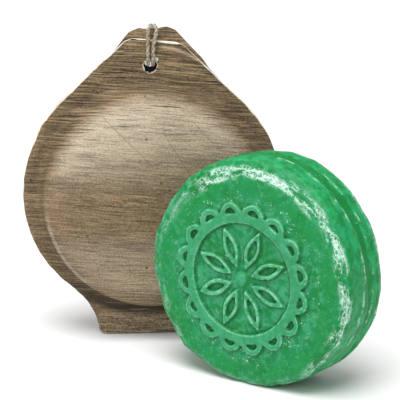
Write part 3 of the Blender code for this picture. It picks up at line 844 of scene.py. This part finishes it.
def make_shell(name, settings, front, leaf, edge, hole_wall_shade):
    """One leaf shell: turned dome, flange drawn out to the outline, wall, hole and soft edges."""
    wall = settings.wall / MM
    rings, last = dome_rings(wall)
    shell = turn_profile(name, rings, settings.segments)
    if front:
        outline = shell_outline(0.4, 2.2, (-8.7, 108.2), (10, 106.7))
    else:
        outline = shell_outline(0, 1.2, (-6.3, 112), (7.2, 112))
    for vert in shell.data.vertices:
        p = vert.co / MM
        reach = p.xy.length
        if reach > FLANGE_START + 0.01:
            angle = math.atan2(p.y, p.x)
            share = min(1, (reach - FLANGE_START) / (last - FLANGE_START))
            edge_reach = outline_reach(outline, angle)
            if not front:
                # The front leaf stands a little proud of this one down both flanks
                edge_reach -= 0.8 * ease(1.24, 1.14, angle) * ease(0.1, 0.4, angle)
                edge_reach -= 0.8 * ease(1.70, 1.82, angle) * ease(3, 2.7, angle)
            if front:
                edge_reach += 0.75 * ease(0.46, 0.30, abs(angle - 2.25))
            edge_reach += 0.14 * noise.noise(Vector((p.x, p.y, 3 if front else 9)).normalized() * 8)
            if share < 1:
                inner = edge_reach - EDGE_BAND - FLANGE_START
                reach = FLANGE_START + inner * share * EDGE_RINGS / (EDGE_RINGS - 1)
            else:
                reach = edge_reach
            vert.co = Vector((reach * math.cos(angle), reach * math.sin(angle), p.z)) * MM
    shell.data.materials.append(leaf)
    shell.data.materials.append(edge)
    # Front: face turned to -Y; back: the same form turned about to +Y and mirrored back in x
    shell.rotation_euler = (TURN / 4, 0, 0)
    settle(shell)
    if not front:
        for vert in shell.data.vertices:
            vert.co.y *= -1
        edit(shell)
        bpy.ops.mesh.select_all(action='SELECT')
        bpy.ops.mesh.flip_normals()
        done()
    seat = (FRONT_OUTER_Y + wall) if front else (BACK_OUTER_Y - wall)
    shell.location = (0, seat * MM, DOME_CENTRE_Z * MM)
    settle(shell)
    edit(shell)
    face_outwards()
    done()
    outward = shell.data.polygons[0].normal.y * (-1 if front else 1)
    if outward < 0:
        shell.data.flip_normals()
    apply_modifier(shell, 'SOLIDIFY', thickness=settings.wall, offset=-1, use_even_offset=True,
        material_offset_rim=1)
    for vert in shell.data.vertices:
        p = vert.co / MM
        out = Vector((p.x, p.z - DOME_CENTRE_Z))
        angle = math.atan2(out.y, out.x)
        if front and p.y < FRONT_OUTER_Y + 0.3 and out.length > outline_reach(outline, angle) - 0.4:
            # The cut edge leans back, most on the upper left and along the top
            slant = 0.16 + 0.42 * ease(0.6, 0.25, abs(angle - 2.25)) + 0.24 * ease(0.5, 0.2,
                abs(angle - 0.9))
            slant += 0.22 * noise.noise(p * 0.35)
            if p.z > 106.3:
                drop = 0.08 + 0.22 * ease(-6.5, -4.5, p.x) + 0.4 * ease(-2, 9, p.x)
                vert.co.z -= (drop + 0.2 * noise.noise(p * 0.6)) * MM
            else:
                out = out.normalized() * max(0.05, slant) * MM
                vert.co.x -= out.x
                vert.co.z -= out.y
        if not front and p.z > 110.6:
            vert.co.z -= (0.6 * ease(4.5, 1.5, abs(p.x + 0.2)) + 0.35 * ease(-1, -4, p.x)) * MM
    if front:
        drill_ragged_hole(shell, hole_wall_shade, 5, 0, HOLE_RADIUS + 0.1, HOLE_RADIUS - 0.1)
    else:
        drill_ragged_hole(shell, hole_wall_shade, 6, 0.65, HOLE_RADIUS - 0.55, HOLE_RADIUS - 1.2)
    outer = FRONT_OUTER_Y if front else BACK_OUTER_Y
    sign = -1 if front else 1
    hole = Vector((0, HOLE_Z))
    skin = weigh(shell, "skin", lambda p: (
        ease(-0.75, -0.05, sign * (p.y - outer)) * ease(14, 20, (p.xz - hole).length)))
    add_clouds(shell, name + "_swell", 22, 0.9, direction='Y', group=skin)
    add_clouds(shell, name + "_ripple", 6, 0.22, direction='Y', group=skin)
    shell.vertex_groups.clear()
    take(shell)
    bpy.ops.object.shade_smooth_by_angle(angle=math.radians(40))
    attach(shell, "front_leaf" if front else "case_back")
    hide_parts("front_shell" if front else "back_shell")
    return shell


class SOAPCASE_OT_shells(bpy.types.Operator):
    """Add the two pressed palm-leaf shells"""
    bl_idname = "soapcase.shells"
    bl_label = "Add leaf shells"

    def execute(self, context):
        settings = context.scene.leaf_shells
        edge = cut_edge_finish(settings)
        hole_wall_shade = hole_wall_shade_finish(settings)
        make_shell("back_leaf", settings, False, leaf_finish(settings, "leaf_back", False), edge, hole_wall_shade)
        make_shell("front_leaf", settings, True, leaf_finish(settings, "leaf_front", True), edge, hole_wall_shade)
        return {'FINISHED'}


# Twine

def loop_route():
    """Route of the tied twine in millimetres: knot, over the top, through the holes, twice round."""
    b = BACK_OUTER_Y + 0.3 + TWINE_RADIUS
    f = FRONT_OUTER_Y - 0.3 - TWINE_RADIUS
    side = TWINE_RADIUS + STRAND_GAP / 2
    crest = CASE_HEIGHT - 0.35 + TWINE_RADIUS
    knot_top = KNOT_CENTRE.z + 2

    def level(share):
        return HOLE_Z + share * (CASE_HEIGHT - HOLE_Z)

    def turn(crest_x, front_x, hole_x):
        """Over the top, down the front and back through the holes."""
        over = zip(crest_x, (b - 0.8, b - 2, f + 1.6, f + 0.3),
                   (crest - 0.2, crest + 0.1, crest + 0.2, crest - 0.1))
        down = zip(front_x, (f - 0.1, f, f, f, f - 0.1, f - 0.2),
                   (level(0.96), level(0.84), level(0.64), level(0.43), level(0.26), HOLE_Z + 2.3))
        through = [(hole_x, y, HOLE_Z + rise) for y, rise in (
            (f + 0.2, 1.3), (f + 1.1, 0.75), ((b + f) / 2, 0.45), (b - 1.1, 0.75), (b - 0.2, 1.3))]
        return [*over, *down, *through]

    route = [
        (0.6, b + 2.4, knot_top + 0.6), (0.2, b + 1.4, level(0.8)), (-0.1, b + 0.3, level(0.89)),
        (-0.1, b, level(0.99)),
        *turn((0, 0.02, 0, -0.2), (-0.75, -1, -1, -1, -0.95, -0.85), -side),
        (-0.8, b + 0.1, HOLE_Z + 2.3), (-0.75, b, level(0.27)), (-0.4, b, level(0.4)), (0.4, b, level(0.57)),
        (1.2, b, level(0.74)), (1.5, b, level(0.89)), (1.5, b, level(0.99)),
        *turn((1.35, 1.33, 1.35, 1.55), (2.05, 1.85, 1.25, 0.9, 0.85, 0.85), side),
        (0.9, b + 0.6, HOLE_Z + 2.2), (0.85, b + 1.5, HOLE_Z + 3.2), (0.85, b + 2.2, HOLE_Z + 4.1),
    ]
    return [(x + HOLE_X + 0.2, y, z) for x, y, z in route]


def end_route(side):
    """Route of one short cut end, which hangs behind the back shell."""
    back = BACK_OUTER_Y + 0.3 + TWINE_RADIUS
    start = KNOT_CENTRE.x + side * 1.9
    z = KNOT_CENTRE.z
    return [(start - side * 0.6, back + 2.6, z + 0.2), (start + side * 0.45, back + 2.5, z - 0.3),
        (start + side * 1.3, back + 2.1, z - 1.4), (start + side * 1.8, back + 1.6, z - 3.2),
        (start + side * 2.1, back + 1.1, z - 5.4), (start + side * 2, back + 0.6, z - 7.4)]


def knot_route():
    """Route of the overhand knot: three turns that pass through each other."""
    points = []
    for index in range(48):
        t = TURN * (index + 0.5) / 52
        x = (math.sin(t) + 2 * math.sin(2 * t)) / 3
        y = -math.sin(3 * t)
        z = (math.cos(t) - 2 * math.cos(2 * t)) / 3
        points.append((KNOT_CENTRE.x + 1.6 * x, KNOT_CENTRE.y + 0.75 * y, KNOT_CENTRE.z + 1.6 * z))
    return points


def even_route(points, spacing):
    """Smooth a route and step along it evenly; millimetres."""
    route = [Vector(point) for point in points]
    padded = [2 * route[0] - route[1]] + route + [2 * route[-1] - route[-2]]
    dense = []
    for index in range(1, len(padded) - 2):
        before, start, end, after = padded[index - 1:index + 3]
        for step in range(12):
            t = step / 12
            bend = (2 * before - 5 * start + 4 * end - after) * t ** 2
            twist = (3 * start - before - 3 * end + after) * t ** 3
            dense.append(start + ((end - before) * t + bend + twist) / 2)
    dense.append(route[-1])
    result, carried = [dense[0]], 0
    for first, second in zip(dense, dense[1:]):
        length = (second - first).length
        while carried + length >= spacing:
            share = (spacing - carried) / length
            first = first + (second - first) * share
            length = (second - first).length
            carried = 0
            result.append(first.copy())
        carried += length
    return result


def side_frames(points):
    """A direction across the route at each point, carried along without twist."""
    across = Vector((1, 0.3, 0.2))
    frames = []
    for index, point in enumerate(points):
        ahead = points[min(index + 1, len(points) - 1)] - points[max(index - 1, 0)]
        ahead.normalize()
        across = (across - ahead * across.dot(ahead)).normalized()
        frames.append((ahead, across.copy(), ahead.cross(across)))
    return frames


def add_tubes(name, tubes, material):
    """Thin tubes along lists of (point, radius), joined as one mesh."""
    curve = bpy.data.curves.new(name, 'CURVE')
    curve.dimensions = '3D'
    curve.bevel_depth = MM
    curve.bevel_resolution = 2
    curve.use_fill_caps = True
    for tube in tubes:
        spline = curve.splines.new('POLY')
        spline.points.add(len(tube) - 1)
        for target, (point, radius) in zip(spline.points, tube):
            target.co = (*(point * MM), 1)
            target.radius = radius
    item = bpy.data.objects.new(name, curve)
    bpy.context.scene.collection.objects.link(item)
    take(item)
    bpy.ops.object.convert(target='MESH')
    item = bpy.context.object
    item.data.materials.clear()
    item.data.materials.append(material)
    item.data.shade_smooth()
    return item


def plied_tubes(points, radius, pitch, rng, hairs):
    """Two plies laid round a route, with stray hairs that stand off it."""
    spacing = (points[1] - points[0]).length
    frames = side_frames(points)
    tubes = []
    for ply in range(2):
        tube = []
        for index, (point, (ahead, across, up)) in enumerate(zip(points, frames)):
            angle = TURN * (index * spacing / pitch + ply / 2)
            swell = 1 + 0.07 * noise.noise(point * 0.9 + Vector((ply * 7, 0, 0)))
            out = across * math.cos(angle) + up * math.sin(angle)
            tube.append((point + out * radius * PLY_OFFSET, radius * PLY_RADIUS * swell))
        tubes.append(tube)
    for _ in range(hairs):
        index = rng.randrange(3, len(points) - 4)
        ahead, across, up = frames[index]
        angle = rng.uniform(0, TURN)
        out = across * math.cos(angle) + up * math.sin(angle)
        lean = ahead * rng.choice((-1, 1))
        start = points[index] + out * radius * 0.8
        length = rng.uniform(0.5, 1.3)
        tubes.append([(start + (lean * 0.8 * t + out * 0.3 * t ** 1.6) * length, 0.055 * (1 - 0.6 * t))
                      for t in HAIR_STEPS])
    return tubes


def twine_finish(settings):
    """Hemp twine: pale plies with tan flecks and fine fibres."""
    f = Finish("twine_hemp")
    flecks = f.clouds(f.place, 0.8, 3, 0.6)
    fibres = f.clouds(f.place, 2.2, 3, 0.7)
    colour = f.blend(f.step(0.50, 0.62, flecks), settings.cord_colour, settings.fleck_colour)
    colour = f.blend(f.step(0.52, 0.68, fibres) * 0.7, colour, "e4dccc")
    colour = f.blend(f.step(0.5, 0.34, fibres) * 0.85, colour, "54462e")
    return f.coat(colour, 0.9, Normal=f.wrinkle(fibres, 0.7, 0.12), Sheen_Weight=0.3, Sheen_Roughness=0.6)


class SOAPCASE_OT_twine(bpy.types.Operator):
    """Add the tied twine with its knot and two short ends"""
    bl_idname = "soapcase.twine"
    bl_label = "Add twine"

    def execute(self, context):
        settings = context.scene.tied_twine
        finish = twine_finish(settings)
        radius = settings.radius / MM
        pitch = settings.pitch / MM
        rng = random.Random(11)
        loop = even_route(loop_route(), 0.35)
        pieces = [("twine_strands", "twine_loop", plied_tubes(loop, radius, pitch, rng, 70))]
        knot = even_route(knot_route(), 0.3)
        pieces.append(("twine_overhand_knot", "twine_knot", plied_tubes(knot, radius, pitch, rng, 16)))
        for name, node, side in (("twine_end_left", "twine_tail_left", -1),
                                 ("twine_end_right", "twine_tail_right", 1)):
            end = even_route(end_route(side), 0.3)
            tubes = plied_tubes(end, radius, pitch, rng, 8)
            ahead = (end[-1] - end[-3]).normalized()
            for _ in range(16):
                spread = Vector([rng.uniform(-0.5, 0.5) for _ in range(3)])
                start = end[-2] + spread * 0.8
                tubes.append([(start + (ahead * t + spread * 0.9 * t ** 2) * 1.5, 0.09 * (1 - 0.7 * t))
                              for t in HAIR_STEPS])
            pieces.append((name, node, tubes))
        for name, node, tubes in pieces:
            piece = add_tubes(name, tubes, finish)
            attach(piece, "case_back")
            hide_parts(node)
        return {'FINISHED'}


# Stage

def add_area_light(name, place, aim, size, power):
    """A square soft light turned towards a point."""
    deselect_all()
    bpy.ops.object.light_add(type='AREA', location=place)
    light = bpy.context.object
    light.name = name
    light.data.size = size
    light.data.energy = power
    light.rotation_euler = (Vector(aim) - Vector(place)).to_track_quat('-Z', 'Y').to_euler()
    return light


def floor_finish(settings):
    """Smooth pale board with the faintest mottling."""
    f = Finish("stage_board")
    shade = f.clouds(f.place, 0.01, 2, 0.5)
    colour = f.blend(shade * 0.08, settings.floor_colour, (0.85, 0.85, 0.85))
    return f.coat(colour, 0.8, Specular_IOR_Level=0.2)


class SOAPCASE_OT_stage(bpy.types.Operator):
    """Add the floor, the lights and the camera"""
    bl_idname = "soapcase.stage"
    bl_label = "Add stage"

    def execute(self, context):
        scene = context.scene
        settings = scene.soap_stage
        deselect_all()
        bpy.ops.mesh.primitive_plane_add(size=60, location=(0, 0, 0))
        floor = bpy.context.object
        floor.name = "stage_floor"
        floor.data.materials.append(floor_finish(settings))

        world = scene.world or bpy.data.worlds.new("soft_room")
        scene.world = world
        world.use_nodes = True
        sky = world.node_tree.nodes["Background"]
        sky.inputs["Color"].default_value = (1, 1, 1, 1)
        sky.inputs["Strength"].default_value = settings.sky
        deselect_all()
        bpy.ops.object.light_add(type='SUN', location=(-0.6, -0.6, 1))
        key = bpy.context.object
        key.name = "key_light"
        key.data.energy = settings.key
        key.data.angle = settings.key_softness
        key.rotation_euler = Vector((0.12, 0.38, -1)).to_track_quat('-Z', 'Y').to_euler()
        add_area_light("top_light", (-0.25, 0.1, 0.6), (0.02, -0.03, 0.05), 0.3, settings.top_power)
        add_area_light("front_light", (-0.42, -0.50, 0.34), (0.03, -0.04, 0.02), 0.35, settings.front_power)

        target = Vector(settings.aim)
        across = math.cos(settings.lift)
        away = Vector((-math.sin(settings.bearing) * across, -math.cos(settings.bearing) * across,
                       math.sin(settings.lift)))
        deselect_all()
        bpy.ops.object.camera_add(location=target + away * settings.distance,
            rotation=(-away).to_track_quat("-Z", 'Y').to_euler())
        camera = bpy.context.object
        camera.name = "catalogue_camera"
        camera.data.lens = settings.lens
        camera.data.sensor_width = 36
        camera.data.clip_start = 0.01
        camera.data.clip_end = 30
        scene.camera = camera
        scene.view_settings.view_transform = 'Standard'
        return {'FINISHED'}


# Panel and registration

class SOAPCASE_PT_panel(bpy.types.Panel):
    """Pieces of the soap case and their settings"""
    bl_idname = "SOAPCASE_PT_panel"
    bl_label = "Soap Case"
    bl_space_type = 'VIEW_3D'
    bl_region_type = 'UI'
    bl_category = "Soap Case"

    def draw(self, context):
        scene = context.scene
        for operator, settings in (
                ("soapcase.stage", scene.soap_stage), ("soapcase.soap", scene.soap_puck),
                ("soapcase.shells", scene.leaf_shells), ("soapcase.twine", scene.tied_twine)):
            box = self.layout.box()
            box.operator(operator)
            for key in settings.bl_rna.properties.keys():
                if key not in ("rna_type", "name"):
                    box.prop(settings, key)


GROUPS = (("soap_puck", SoapSettings), ("leaf_shells", LeafSettings), ("tied_twine", TwineSettings),
          ("soap_stage", StageSettings))
CLASSES = tuple(group for _, group in GROUPS) + (SOAPCASE_OT_soap, SOAPCASE_OT_shells, SOAPCASE_OT_twine,
                                                 SOAPCASE_OT_stage, SOAPCASE_PT_panel)


def register():
    for item in CLASSES:
        bpy.utils.register_class(item)
    for name, group in GROUPS:
        setattr(bpy.types.Scene, name, PointerProperty(type=group))


def unregister():
    for name, _ in GROUPS:
        delattr(bpy.types.Scene, name)
    for item in reversed(CLASSES):
        bpy.utils.unregister_class(item)


def main():
    """Build every piece."""
    register()
    bpy.ops.soapcase.stage()
    bpy.ops.soapcase.soap()
    bpy.ops.soapcase.shells()
    bpy.ops.soapcase.twine()
    deselect_all()


if __name__ == "__main__":
    main()
